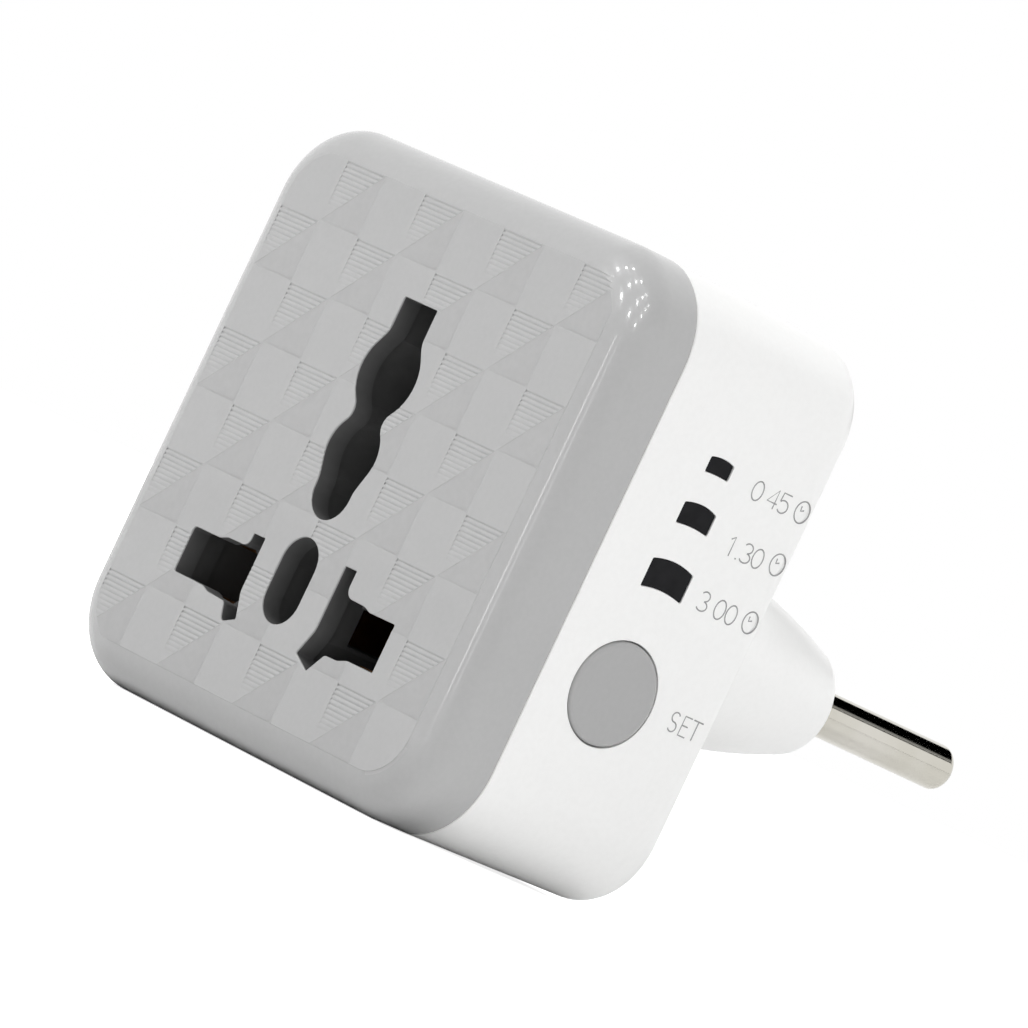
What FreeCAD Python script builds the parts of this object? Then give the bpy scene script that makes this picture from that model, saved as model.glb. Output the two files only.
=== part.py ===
import FreeCAD, Part
import math
import os

# Plug in timer switch: a two pin plug, a timer board and a multi standard socket in one small case.
# Millimetres. The origin is the centre of the plug's end face, between the two pins, +Y is the way
# the pins point, +Z is up and the socket faces -Y. +X is the side with the button and the windows.

# Case
body_depth = 27.5
shell_depth = 6.8
boss_depth = 19.5
body_rise = 2.55
case_wall = 1.8
panel_wall = 2.0
corner_r = 7.5
front_round = 3.7
rear_round = 2.6
case_draft = 0.4
lip_wall = 1.1
lip_long = 1.6
lip_clear = 0.1

# Plug boss and pins
boss_half_wide = 19.2
boss_half_high = 8.5
boss_draft = 3.8
boss_rim_round = 2.2
boss_end_wall = 4.0
boss_hollow_r = 3.3
boss_hollow_past_pin = 1.2
pin_spacing = 19.0
pin_r = 2.0
pin_long = 18.6
pin_root_r = 2.2
pin_root_proud = 0.1
pin_tip_r = 1.25
pin_tip_long = 0.6
pin_seat_clear = 0.02
collar_r = 3.0
collar_thick = 1.5
tail_r = 1.4
tail_proud = 0.5
strap_thick = 0.8
strap_high = 5.0
strap_eye_long = 6.0

# Socket face: the line through the line and neutral holes is the datum of every slot
hole_line_z = -10.15
earth_top = 26.5
earth_half_wide = 2.25
earth_bulge_up = 20.1
earth_bulge_r = 3.75
earth_lobe_up = 13.15
earth_lobe_r = 3.3
earth_neck_half = 2.2
earth_neck_top_turn = 40.0
earth_neck_low_turn = 35.0
earth_foot_up = 9.58
earth_foot_r = 2.45
oval_r = 2.33
oval_half_high = 3.8
oval_up = 1.56
blade_outer_x = 14.4
blade_high = 4.25
round_hole_x = 9.5
round_hole_r = 2.55
flat_slot_x = 6.4
flat_slot_wide = 1.6
flat_slot_up_right = 4.6
flat_slot_up_left = 3.75
slant_angle = 30.0
slant_long = 6.2
slant_wide_right = 2.2
slant_wide_left = 1.2
slant_foot_x_right = 5.6
slant_foot_x_left = 5.0
slant_foot_down_right = 3.9
slant_foot_down_left = 3.4
bridge_half_high = 1.6
blade_overlap = 1.4

# Socket insert and contacts
insert_wall = 1.4
well_clear = 0.25
contact_thick = 0.6
contact_gap = 4.4
contact_inner_x = 7.7
contact_mouth = 2.0
side_leaf_high = 5.4
side_leaf_up = 1.4
pocket_clear = 0.2

# Main board and what stands on it
board_thick = 1.6
board_corner_r = 1.5
board_margin = 2.2
rear_space = 4.8
relay_size = (20.3, 12.5, 5.0)
relay_edge_r = 0.5
dropper_size = (13.0, 9.0, 4.0)
dropper_edge_r = 0.4
dropper_post_gap = 4.1
part_clear = 0.25
smoother_r = 3.15
smoother_long = 11.5
resistor_r = 1.6
resistor_long = 8.5
resistor_at = (-11.0, -10.5)
resistor_lift = 0.4
lead_r = 0.35
lead_spread = 1.8
diode_size = (2.7, 1.1, 1.6)
diode_first = (12.0, 14.0)
diode_pitch = 4.2
diode_count = 4
chip_size = (5.0, 1.5, 4.0)
chip_at = (-10.5, 12.0)
chip_lift = 0.15
leg_pitch = 1.27
leg_rows = 4
leg_wide = 0.45
leg_thick = 0.2
leg_out = 1.0

# Side board, button and windows
side_board_thick = 1.2
side_board_gap = 0.3
side_board_depth = 11.0
side_board_margin = 2.6
side_centre_from_board = 4.45
button_r = 4.45
button_z = -5.65
button_clear = 0.15
button_flange = 0.9
button_flange_thick = 0.9
button_rest_gap = 0.2
button_proud = 0.15
stem_r = 1.5
stem_gap = 0.05
stem_long = 1.6
switch_side = 6.0
switch_high = 3.0
switch_travel = 0.4
plunger_r = 1.7
plunger_out = 0.65
plunger_long = 1.7
plunger_clear = 0.08
led_size = (0.8, 2.0, 1.25)
# Each window: name, width, height of its sides, height of its foot, rise of its top and bottom arcs
windows = (
    ("short_time_window", 2.7, 1.35, 13.75, 0.20, 0.08),
    ("middle_time_window", 3.7, 1.85, 9.05, 0.31, 0.15),
    ("long_time_window", 4.75, 2.50, 3.22, 0.38, 0.30),
)
window_recess = 0.1
window_clear = 0.04
window_flange = 0.7
window_flange_thick = 1.0

# Case screws
screw_edge_x = 6.55
screw_edge_z = 6.85
screw_shank_r = 1.3
screw_shank_long = 16.0
screw_end_space = 1.0
screw_head_r = 2.5
screw_head_high = 1.7
screw_recess = 3.0
screw_clear = 0.2
pilot_clear = 0.02
front_post_r = 2.8
rear_post_wall = 1.0

# How far a cut runs past the piece it cuts
cut_past = 1.0

# Planes that follow from the sizes above
back_y = -boss_depth
front_y = back_y - body_depth
seam_y = front_y + shell_depth
panel_in_y = front_y + panel_wall
rear_in_y = back_y - case_wall
board_back_y = rear_in_y - rear_space
board_front_y = board_back_y - board_thick
side_centre_y = board_front_y - side_centre_from_board
contact_outer_x = blade_outer_x + well_clear
insert_half = contact_outer_x + pocket_clear + insert_wall
insert_top_z = hole_line_z + earth_top + well_clear + insert_wall
insert_foot_z = hole_line_z - slant_foot_down_right - slant_wide_right / 2 - well_clear - insert_wall / 2
side_board_x = insert_half + side_board_gap
side_face_x = side_board_x + side_board_thick
plunger_top_x = side_face_x + switch_high + plunger_out
flange_x = plunger_top_x + stem_gap + stem_long
inner_half = flange_x + button_rest_gap
case_half = inner_half + case_wall + case_draft
screw_x = case_half - screw_edge_x
screw_z = case_half - screw_edge_z


def vec(x, y, z):
    """A point or direction."""
    return FreeCAD.Vector(x, y, z)


def block(x0, x1, y0, y1, z0, z1):
    """A rectangular block between two corners."""
    return Part.makeBox(x1 - x0, y1 - y0, z1 - z0, vec(x0, y0, z0))


def rod_y(x, z, radius, y0, y1):
    """A round rod along Y."""
    return Part.makeCylinder(radius, y1 - y0, vec(x, y0, z), vec(0, 1, 0))


def rod_x(y, z, radius, x0, x1):
    """A round rod along X."""
    return Part.makeCylinder(radius, x1 - x0, vec(x0, y, z), vec(1, 0, 0))


def arc(start, middle, end):
    """An arc edge through three points."""
    return Part.Arc(start, middle, end).toShape()


def rounded_square(half, radius, y, rise=0.0):
    """The wire of a square with rounded corners, in a plane across Y."""
    flat = half - radius
    diagonal = flat + radius * math.sqrt(0.5)
    edges = []
    for quarter in range(4):
        turn = FreeCAD.Rotation(vec(0, 1, 0), -90.0 * quarter)
        start = turn.multVec(vec(half, 0, -flat))
        corner = turn.multVec(vec(half, 0, flat))
        middle = turn.multVec(vec(diagonal, 0, diagonal))
        end = turn.multVec(vec(flat, 0, half))
        edges.append(Part.makeLine(start, corner))
        edges.append(arc(corner, middle, end))
    wire = Part.Wire(edges)
    wire.translate(vec(0, y, rise))
    return wire


def drafted_block(flat_x, flat_z, r0, r1, y0, y1):
    """A block along Y with round corners, whose walls and corner radii draw in from r0 to r1."""
    wide0, wide1 = flat_x + r0, flat_x + r1
    high0, high1 = flat_z + r0, flat_z + r1
    parts = [Part.makeWedge(-flat_x, y0, -high0, -high1, -flat_x, flat_x, y1, high0, high1, flat_x)]
    if flat_z > 0:
        parts.append(Part.makeWedge(-wide0, y0, -flat_z, -flat_z, -wide1, wide0, y1, flat_z, flat_z, wide1))
    for x in (-flat_x, flat_x):
        for z in sorted({-flat_z, flat_z}):
            parts.append(Part.makeCone(r0, r1, y1 - y0, vec(x, y0, z), vec(0, 1, 0)))
    return fuse_all(parts)


def prism(wire, long):
    """A closed wire across Y, carried along +Y."""
    return Part.Face(wire).extrude(vec(0, long, 0))


def edges_at_y(shape, y):
    """The edges of a shape that lie wholly in one plane across Y."""
    found = []
    for edge in shape.Edges:
        box = edge.BoundBox
        if abs(box.YMin - y) < 1e-4 and abs(box.YMax - y) < 1e-4:
            found.append(edge)
    return found


def fuse_all(shapes):
    """One solid from several that touch or overlap."""
    first, rest = shapes[0], shapes[1:]
    return first.multiFuse(rest).removeSplitter()


def outer_half(y):
    """Half the width of the drafted rear housing at a depth."""
    return case_half - case_draft * (y - seam_y) / (back_y - seam_y)


def mirror_x(shape):
    """The same shape on the other side of the middle plane."""
    return shape.mirror(vec(0, 0, 0), vec(1, 0, 0))


# Socket slots


def earth_slot(grow, y0, y1):
    """The tall middle slot: a flat top, a wide bulge, a neck, a lobe and a round foot."""
    top = hole_line_z + earth_top + grow
    bulge_z = hole_line_z + earth_bulge_up
    lobe_z = hole_line_z + earth_lobe_up
    foot_z = hole_line_z + earth_foot_up
    half = earth_half_wide + grow
    bulge = earth_bulge_r + grow
    lobe = earth_lobe_r + grow
    neck = earth_neck_half + grow
    foot = earth_foot_r + grow
    shoulder = bulge_z + math.sqrt(bulge ** 2 - half ** 2)
    waist_top = bulge_z - bulge * math.sin(math.radians(earth_neck_top_turn))
    waist_top_x = bulge * math.cos(math.radians(earth_neck_top_turn))
    waist_low = lobe_z + lobe * math.sin(math.radians(earth_neck_low_turn))
    waist_low_x = lobe * math.cos(math.radians(earth_neck_low_turn))
    heel = lobe_z - math.sqrt(lobe ** 2 - foot ** 2)

    def side(sign):
        waist_mid = (waist_top + waist_low) / 2
        return [
            Part.makeLine(vec(sign * half, y0, top), vec(sign * half, y0, shoulder)),
            arc(vec(sign * half, y0, shoulder), vec(sign * bulge, y0, bulge_z),
                vec(sign * waist_top_x, y0, waist_top)),
            arc(vec(sign * waist_top_x, y0, waist_top), vec(sign * neck, y0, waist_mid),
                vec(sign * waist_low_x, y0, waist_low)),
            arc(vec(sign * waist_low_x, y0, waist_low), vec(sign * lobe, y0, lobe_z),
                vec(sign * foot, y0, heel)),
            Part.makeLine(vec(sign * foot, y0, heel), vec(sign * foot, y0, foot_z)),
        ]

    edges = side(1) + side(-1)
    edges.append(Part.makeLine(vec(-half, y0, top), vec(half, y0, top)))
    edges.append(arc(vec(-foot, y0, foot_z), vec(0, y0, foot_z - foot), vec(foot, y0, foot_z)))
    wire = Part.Wire(Part.__sortEdges__(edges))
    return prism(wire, y1 - y0)


def oval_slot(grow, y0, y1):
    """The upright oval hole between the line and neutral holes."""
    centre_z = hole_line_z + oval_up
    reach = oval_half_high - oval_r
    radius = oval_r + grow
    parts = [rod_y(0, centre_z + reach, radius, y0, y1), rod_y(0, centre_z - reach, radius, y0, y1)]
    parts.append(block(-radius, radius, y0, y1, centre_z - reach, centre_z + reach))
    return fuse_all(parts)


def power_slot(flat_up, slant_wide, foot_x, foot_down, grow, y0, y1):
    """A power hole, as on the right: a blade hole, a round hole, an upright slot and a slanted leg."""
    half = blade_high / 2 + grow
    blade = block(round_hole_x - blade_overlap, blade_outer_x + grow, y0, y1,
                  hole_line_z - half, hole_line_z + half)
    round_hole = rod_y(round_hole_x, hole_line_z, round_hole_r + grow, y0, y1)
    slot_half = flat_slot_wide / 2 + grow
    upright = block(flat_slot_x - slot_half, flat_slot_x + slot_half, y0, y1,
                    hole_line_z - foot_down / 2, hole_line_z + flat_up + grow)
    bridge = block(flat_slot_x, round_hole_x, y0, y1, hole_line_z - bridge_half_high,
                   hole_line_z + bridge_half_high)
    leg_half = slant_wide / 2 + grow
    leg = block(-leg_half, leg_half, y0, y1, -grow, slant_long)
    leg.rotate(vec(0, 0, 0), vec(0, 1, 0), slant_angle)
    leg.translate(vec(foot_x, 0, hole_line_z - foot_down))
    return fuse_all([blade, round_hole, upright, bridge, leg])


def all_slots(grow, y0, y1):
    """Every slot of the socket face, each grown by the same amount."""
    right = power_slot(flat_slot_up_right, slant_wide_right, slant_foot_x_right, slant_foot_down_right,
                       grow, y0, y1)
    left = power_slot(flat_slot_up_left, slant_wide_left, slant_foot_x_left, slant_foot_down_left,
                      grow, y0, y1)
    left = mirror_x(left)
    return [earth_slot(grow, y0, y1), oval_slot(grow, y0, y1), right, left]


def screw_places():
    """The two screw axes, in opposite corners of the case."""
    return [(side * screw_x, body_rise + side * screw_z) for side in (-1, 1)]


# Case


def front_shell():
    """The grey front: a rounded tray with the slots, two posts and a lip that locates the rear.
    The lip gives way wherever the button's flange would reach it."""
    tray = prism(rounded_square(case_half, corner_r, front_y, body_rise), shell_depth)
    tray = tray.makeFillet(front_round, edges_at_y(tray, front_y))
    cavity_r = corner_r - case_wall - case_draft
    cavity_half = inner_half - lip_clear - lip_wall
    cavity = prism(rounded_square(cavity_half, cavity_r - lip_wall, panel_in_y, body_rise), shell_depth)
    lip_outer = rounded_square(inner_half - lip_clear, cavity_r, seam_y, body_rise)
    shell = tray.fuse(prism(lip_outer, lip_long)).cut(cavity)
    pilot_y = back_y - screw_recess - screw_shank_long - screw_end_space
    pilot_r = screw_shank_r + pilot_clear
    posts = [rod_y(x, z, front_post_r, front_y + panel_wall / 2, board_front_y) for x, z in screw_places()]
    pilots = [rod_y(x, z, pilot_r, pilot_y, board_front_y) for x, z in screw_places()]
    relief_r = button_r + button_flange + part_clear
    relief = rod_x(side_centre_y, button_z, relief_r, cavity_half, inner_half)
    shell = fuse_all([shell] + posts)
    return shell.cut([relief] + pilots + all_slots(0, front_y - cut_past, panel_in_y + cut_past))


def boss_outside():
    """The plug's boss: a drafted stadium with a well rounded rim, from inside the rear wall."""
    root_y = back_y - case_wall
    root_r = boss_half_high + boss_draft * case_wall / boss_depth
    flat = boss_half_wide - boss_half_high
    boss = drafted_block(flat, 0, root_r, boss_half_high - boss_draft, root_y, 0)
    return boss.makeFillet(boss_rim_round, edges_at_y(boss, 0))


def boss_hollow():
    """The room in the boss for the pins' collars, their straps and the round capacitor."""
    flat = pin_spacing / 2 + boss_hollow_past_pin
    start = rear_in_y - case_wall / 2
    ends = [rod_y(side * flat, 0, boss_hollow_r, start, -boss_end_wall) for side in (-1, 1)]
    return fuse_all(ends + [block(-flat, flat, start, -boss_end_wall, -boss_hollow_r, boss_hollow_r)])


def window_outline(window, grow, x0, x1):
    """A window's prism along X: upright sides, with a top and a foot that both bow upwards."""
    wide, high, foot, top_rise, foot_rise = window[1:]
    y0 = side_centre_y - wide / 2 - grow
    y1 = side_centre_y + wide / 2 + grow
    low = foot - grow
    top = foot + high + grow
    edges = [
        Part.makeLine(vec(x0, y0, low), vec(x0, y0, top)),
        arc(vec(x0, y0, top), vec(x0, side_centre_y, top + top_rise), vec(x0, y1, top)),
        Part.makeLine(vec(x0, y1, top), vec(x0, y1, low)),
        arc(vec(x0, y1, low), vec(x0, side_centre_y, low + foot_rise), vec(x0, y0, low)),
    ]
    return Part.Face(Part.Wire(edges)).extrude(vec(x1 - x0, 0, 0))


def rear_housing():
    """The white rear: a drafted open box with the plug's boss, the windows and the button hole."""
    flat = case_half - corner_r
    outside = drafted_block(flat, flat, corner_r, corner_r - case_draft, seam_y, back_y)
    outside.translate(vec(0, 0, body_rise))
    outside = outside.makeFillet(rear_round, edges_at_y(outside, back_y))
    cavity_r = corner_r - case_wall - case_draft
    cavity_y = seam_y - cut_past
    cavity = prism(rounded_square(inner_half, cavity_r, cavity_y, body_rise), rear_in_y - cavity_y)
    post_r = screw_head_r + screw_clear + rear_post_wall
    posts = [rod_y(x, z, post_r, board_back_y, back_y - case_wall / 2) for x, z in screw_places()]
    body = fuse_all([outside.cut(cavity), boss_outside()] + posts)
    cuts = [boss_hollow()]
    for x, z in screw_places():
        cuts.append(rod_y(x, z, screw_head_r + screw_clear, back_y - screw_recess, back_y + cut_past))
        cuts.append(rod_y(x, z, screw_shank_r + screw_clear, board_back_y - cut_past, back_y))
    for side in (-1, 1):
        cuts.append(rod_y(side * pin_spacing / 2, 0, pin_root_r + pin_seat_clear,
                          -boss_end_wall - cut_past, cut_past))
    for window in windows:
        cuts.append(window_outline(window, 0, inner_half - cut_past, case_half + cut_past))
    cuts.append(rod_x(side_centre_y, button_z, button_r + button_clear,
                      inner_half - cut_past, case_half + cut_past))
    return body.cut(cuts)


def case_screws():
    """Two pan head screws, each a separate solid, with their heads in the rear recesses."""
    screws = []
    seat = back_y - screw_recess
    for x, z in screw_places():
        shank = rod_y(x, z, screw_shank_r, seat - screw_shank_long, seat)
        head = rod_y(x, z, screw_head_r, seat, seat + screw_head_high)
        screws.append(shank.fuse(head).removeSplitter())
    return Part.makeCompound(screws)


# Socket insert and contacts


def contact_pocket(y0, y1):
    """The space behind the right hand power hole that holds one contact."""
    half = contact_gap / 2 + contact_thick + pocket_clear
    blade_room = block(contact_inner_x - pocket_clear, contact_outer_x + pocket_clear, y0, y1,
                       hole_line_z - half, hole_line_z + half)
    leaf_x = flat_slot_x - flat_slot_wide / 2 - contact_thick - well_clear - pocket_clear
    leaf_room = block(leaf_x, contact_inner_x, y0, y1, hole_line_z + side_leaf_up - side_leaf_high / 2,
                      hole_line_z + side_leaf_up + side_leaf_high / 2 + pocket_clear)
    return fuse_all([blade_room, leaf_room])


def socket_insert():
    """The black insert behind the face: a cross shaped block whose wells carry the contacts."""
    pocket_half = contact_gap / 2 + contact_thick + pocket_clear
    shelf = hole_line_z + side_leaf_up + side_leaf_high / 2 + pocket_clear + insert_wall
    stem_half = earth_bulge_r + well_clear + insert_wall
    foot_half = slant_foot_x_right + slant_wide_right + insert_wall
    bar_low = hole_line_z - pocket_half - insert_wall
    bar = block(-insert_half, insert_half, panel_in_y, board_front_y, bar_low, shelf)
    stem = block(-stem_half, stem_half, panel_in_y, board_front_y, insert_foot_z, insert_top_z)
    foot = block(-foot_half, foot_half, panel_in_y, board_front_y, insert_foot_z, hole_line_z)
    wells = all_slots(well_clear, panel_in_y - cut_past, board_front_y + cut_past)
    pocket = contact_pocket(panel_in_y + contact_mouth, board_front_y + cut_past)
    return fuse_all([bar, stem, foot]).cut(wells + [pocket, mirror_x(pocket)])


def power_contact():
    """The right hand contact: a foot on the board, two leaves for blades and pins, one for flat pins."""
    half = contact_gap / 2
    leaf_front = panel_in_y + contact_mouth + pocket_clear
    foot_y = board_front_y - contact_thick
    leaf_x = flat_slot_x - flat_slot_wide / 2 - contact_thick - well_clear
    parts = [block(contact_inner_x, contact_outer_x, foot_y, board_front_y,
                   hole_line_z - half - contact_thick, hole_line_z + half + contact_thick)]
    for side in (-1, 1):
        near = hole_line_z + side * half
        far = near + side * contact_thick
        parts.append(block(contact_inner_x, contact_outer_x, leaf_front, board_front_y,
                           min(near, far), max(near, far)))
    low = hole_line_z + side_leaf_up - side_leaf_high / 2 + pocket_clear
    high = hole_line_z + side_leaf_up + side_leaf_high / 2
    parts.append(block(leaf_x, leaf_x + contact_thick, leaf_front, board_front_y, low, high))
    parts.append(block(leaf_x, contact_inner_x, foot_y, board_front_y, low, hole_line_z + half))
    return fuse_all(parts)


# Plug pins


def plug_pin():
    """The right hand pin, turned from one profile: tail, collar, thick root, shank and a tapered tip."""
    collar_back = -boss_end_wall
    collar_front = collar_back - collar_thick
    tail_end = collar_front - strap_thick - tail_proud
    steps = [(0, tail_end), (tail_r, tail_end), (tail_r, collar_front), (collar_r, collar_front),
             (collar_r, collar_back), (pin_root_r, collar_back), (pin_root_r, pin_root_proud),
             (pin_r, pin_root_proud), (pin_r, pin_long - pin_tip_long), (pin_tip_r, pin_long), (0, pin_long)]
    corners = [vec(radius, y, 0) for radius, y in steps]
    profile = Part.makePolygon(corners + corners[:1])
    pin = Part.Face(profile).revolve(vec(0, 0, 0), vec(0, 1, 0), 360)
    pin.translate(vec(pin_spacing / 2, 0, 0))
    return pin


def pin_strap():
    """The right hand strap: an eye on the pin's tail and a leg that runs to the main board."""
    x = pin_spacing / 2
    eye_back = -boss_end_wall - collar_thick
    eye_front = eye_back - strap_thick
    half = strap_high / 2
    inner = x - strap_eye_long / 2
    eye = block(inner, x + strap_eye_long / 2, eye_front, eye_back, -half, half)
    leg = block(inner, inner + strap_thick, board_back_y, eye_back, -half, half)
    strap = fuse_all([eye, leg])
    return strap.cut(rod_y(x, 0, tail_r + pin_seat_clear, eye_front - cut_past, eye_back + cut_past))


# Main board


def main_board():
    """The board across the case, clamped between the posts, with a slot for the long earth pin."""
    half = inner_half - board_margin
    board = prism(rounded_square(half, board_corner_r, board_front_y, body_rise), board_thick)
    cuts = [rod_y(x, z, screw_shank_r + screw_clear, board_front_y - cut_past, board_back_y + cut_past)
            for x, z in screw_places()]
    slot_top = hole_line_z + earth_top + well_clear
    slot_low = hole_line_z + earth_bulge_up - earth_bulge_r / 2
    slot_half = earth_half_wide + well_clear
    cuts.append(block(-slot_half, slot_half, board_front_y - cut_past, board_back_y + cut_past,
                      slot_low, slot_top))
    return board.cut(cuts)


def relay():
    """The sealed relay can, standing on the front of the main board above the socket insert."""
    wide, deep, high = relay_size
    low = insert_top_z + part_clear
    can = block(-wide / 2, wide / 2, board_front_y - deep, board_front_y, low, low + high)
    return can.makeFillet(relay_edge_r, edges_at_y(can, board_front_y - deep))


def dropper_capacitor():
    """The flat film capacitor below the socket insert."""
    wide, deep, high = dropper_size
    top = insert_foot_z - part_clear
    side = front_post_r + dropper_post_gap - screw_x
    can = block(side, side + wide, board_front_y - deep, board_front_y, top - high, top)
    return can.makeFillet(dropper_edge_r, edges_at_y(can, board_front_y - deep))


def smoothing_capacitor():
    """The round electrolytic can behind the board, in the hollow of the plug's boss."""
    return rod_y(0, 0, smoother_r, board_back_y, board_back_y + smoother_long)


def fusible_resistor():
    """The fusible resistor: a barrel lying over the board on two bent leads."""
    x, z = resistor_at
    y = board_back_y + resistor_r + resistor_lift
    half = resistor_long / 2
    barrel = rod_x(y, z, resistor_r, x - half, x + half)
    reach = half + lead_spread
    wire = block(x - reach, x + reach, y - lead_r, y + lead_r, z - lead_r, z + lead_r)
    legs = [block(x + side * reach - lead_r, x + side * reach + lead_r, board_back_y, y + lead_r,
                  z - lead_r, z + lead_r) for side in (-1, 1)]
    return fuse_all([barrel, wire] + legs)


def rectifier_diodes():
    """Four flat rectifier diodes in a row, each a separate solid."""
    wide, deep, high = diode_size
    x0, z0 = diode_first
    return Part.makeCompound([
        block(x0 - wide / 2, x0 + wide / 2, board_back_y, board_back_y + deep,
              z0 - number * diode_pitch - high / 2, z0 - number * diode_pitch + high / 2)
        for number in range(diode_count)])


def controller_chip():
    """The timer chip: a flat body on bent legs."""
    wide, deep, high = chip_size
    x, z = chip_at
    low, top = board_back_y + chip_lift, board_back_y + chip_lift + deep
    shoulder = (low + top) / 2 + leg_thick
    parts = [block(x - wide / 2, x + wide / 2, low, top, z - high / 2, z + high / 2)]
    for number in range(leg_rows):
        leg_x = x + (number - (leg_rows - 1) / 2) * leg_pitch
        left, right = leg_x - leg_wide / 2, leg_x + leg_wide / 2
        for side in (-1, 1):
            near, knee, far = (side * (high / 2 + out) for out in (0, leg_out / 2, leg_out))
            parts.append(block(left, right, shoulder - leg_thick, shoulder,
                               z + min(near, knee), z + max(near, knee)))
            parts.append(block(left, right, board_back_y, shoulder,
                               z + knee - leg_thick / 2, z + knee + leg_thick / 2))
            parts.append(block(left, right, board_back_y, board_back_y + leg_thick,
                               z + min(knee, far), z + max(knee, far)))
    return fuse_all(parts)


# Side board, button and windows


def side_board():
    """The small upright board behind the windows and the button, standing on the main board."""
    low = button_z - switch_side / 2 - side_board_margin
    first = windows[0]
    high = first[3] + first[2] + side_board_margin
    return block(side_board_x, side_face_x, board_front_y - side_board_depth, board_front_y, low, high)


def status_leds():
    """One small light behind each window, each a separate solid."""
    high, long, wide = led_size
    lights = []
    for window in windows:
        z = window[3] + window[2] / 2
        lights.append(block(side_face_x, side_face_x + high, side_centre_y - long / 2,
                            side_centre_y + long / 2, z - wide / 2, z + wide / 2))
    return Part.makeCompound(lights)


def time_window(window):
    """A dark window: a plug that fills the opening and a flange against the inside of the wall."""
    outer_x = outer_half(side_centre_y) - window_recess
    pane = window_outline(window, -window_clear, inner_half - window_flange_thick, outer_x)
    flange = window_outline(window, window_flange, inner_half - window_flange_thick, inner_half)
    return fuse_all([pane, flange])


def set_button():
    """The round button: a cap, a flange that keeps it in the case and a stem onto the switch."""
    cap_x = outer_half(side_centre_y) + button_proud
    flange_back = flange_x - button_flange_thick
    cap = rod_x(side_centre_y, button_z, button_r, flange_back, cap_x)
    flange = rod_x(side_centre_y, button_z, button_r + button_flange, flange_back, flange_x)
    stem = rod_x(side_centre_y, button_z, stem_r, plunger_top_x + stem_gap, flange_x)
    return fuse_all([cap, flange, stem])


def switch_body():
    """The push switch on the side board, bored for its plunger."""
    half = switch_side / 2
    body = block(side_face_x, side_face_x + switch_high, side_centre_y - half, side_centre_y + half,
                 button_z - half, button_z + half)
    floor = plunger_top_x - plunger_long - switch_travel - plunger_clear
    return body.cut(rod_x(side_centre_y, button_z, plunger_r + plunger_clear, floor,
                          side_face_x + switch_high + cut_past))


def switch_plunger():
    """The plunger that the button's stem pushes."""
    return rod_x(side_centre_y, button_z, plunger_r, plunger_top_x - plunger_long, plunger_top_x)


def build():
    """Every piece under its name."""
    pieces = {
        "front_shell": front_shell(),
        "rear_housing": rear_housing(),
        "case_screws": case_screws(),
        "socket_insert": socket_insert(),
        "line_contact": power_contact(),
        "neutral_contact": mirror_x(power_contact()),
        "line_pin": plug_pin(),
        "neutral_pin": mirror_x(plug_pin()),
        "line_strap": pin_strap(),
        "neutral_strap": mirror_x(pin_strap()),
        "main_board": main_board(),
        "relay": relay(),
        "dropper_capacitor": dropper_capacitor(),
        "smoothing_capacitor": smoothing_capacitor(),
        "fusible_resistor": fusible_resistor(),
        "rectifier_diodes": rectifier_diodes(),
        "controller_chip": controller_chip(),
        "side_board": side_board(),
        "status_leds": status_leds(),
        "set_button": set_button(),
        "switch_body": switch_body(),
        "switch_plunger": switch_plunger(),
    }
    for window in windows:
        pieces[window[0]] = time_window(window)
    return pieces


os.makedirs("parts", exist_ok=True)
for name, shape in build().items():
    shape.exportStep("parts/" + name + ".step")
    print(name, "solids", len(shape.Solids), "volume", round(shape.Volume, 2), "valid", shape.isValid())
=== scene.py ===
# %% [markdown]
# # Plug in timer switch
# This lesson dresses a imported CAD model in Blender. The model is a small square plug: a grey socket
# face, a white rear half with three windows and a button, and two round pins. The CAD frame stays
# where it is. Each visible piece is worked out again with numpy, finer than the CAD one, and rides on
# the CAD body that it belongs to.

import bmesh
import bpy
import numpy as np
from mathutils import Matrix, Vector


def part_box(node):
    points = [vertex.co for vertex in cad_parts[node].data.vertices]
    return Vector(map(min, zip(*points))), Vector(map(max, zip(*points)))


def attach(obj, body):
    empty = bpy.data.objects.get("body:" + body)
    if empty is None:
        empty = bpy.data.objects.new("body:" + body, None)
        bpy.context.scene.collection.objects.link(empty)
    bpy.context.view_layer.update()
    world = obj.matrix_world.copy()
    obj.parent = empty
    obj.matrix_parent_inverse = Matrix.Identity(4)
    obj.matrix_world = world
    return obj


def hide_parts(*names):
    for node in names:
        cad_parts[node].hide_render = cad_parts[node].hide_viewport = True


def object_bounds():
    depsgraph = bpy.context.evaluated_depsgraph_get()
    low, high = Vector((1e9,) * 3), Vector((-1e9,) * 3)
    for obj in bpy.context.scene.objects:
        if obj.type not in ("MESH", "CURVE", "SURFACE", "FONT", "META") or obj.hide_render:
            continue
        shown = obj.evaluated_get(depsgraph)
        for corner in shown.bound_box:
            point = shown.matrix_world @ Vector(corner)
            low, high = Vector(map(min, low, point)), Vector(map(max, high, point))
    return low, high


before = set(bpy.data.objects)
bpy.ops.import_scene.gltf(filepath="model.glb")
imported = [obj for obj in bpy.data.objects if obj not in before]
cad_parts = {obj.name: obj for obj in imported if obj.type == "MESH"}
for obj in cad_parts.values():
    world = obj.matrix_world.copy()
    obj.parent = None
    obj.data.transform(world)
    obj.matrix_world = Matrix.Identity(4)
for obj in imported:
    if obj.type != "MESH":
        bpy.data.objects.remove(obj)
cad_low, cad_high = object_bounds()
print("CAD box", [round(side * 1000, 1) for side in cad_high - cad_low], "mm")

# %% [markdown]
# ## Sizes
# The frame is in metres, but a maker thinks in millimetres, so shapes are worked out in millimetres
# and turned to metres when a mesh is made. What the frame can tell is read from it. The rest are the
# few sizes that no box gives, such as a wall or a fillet.

# %% Sizes read from the frame


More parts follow.
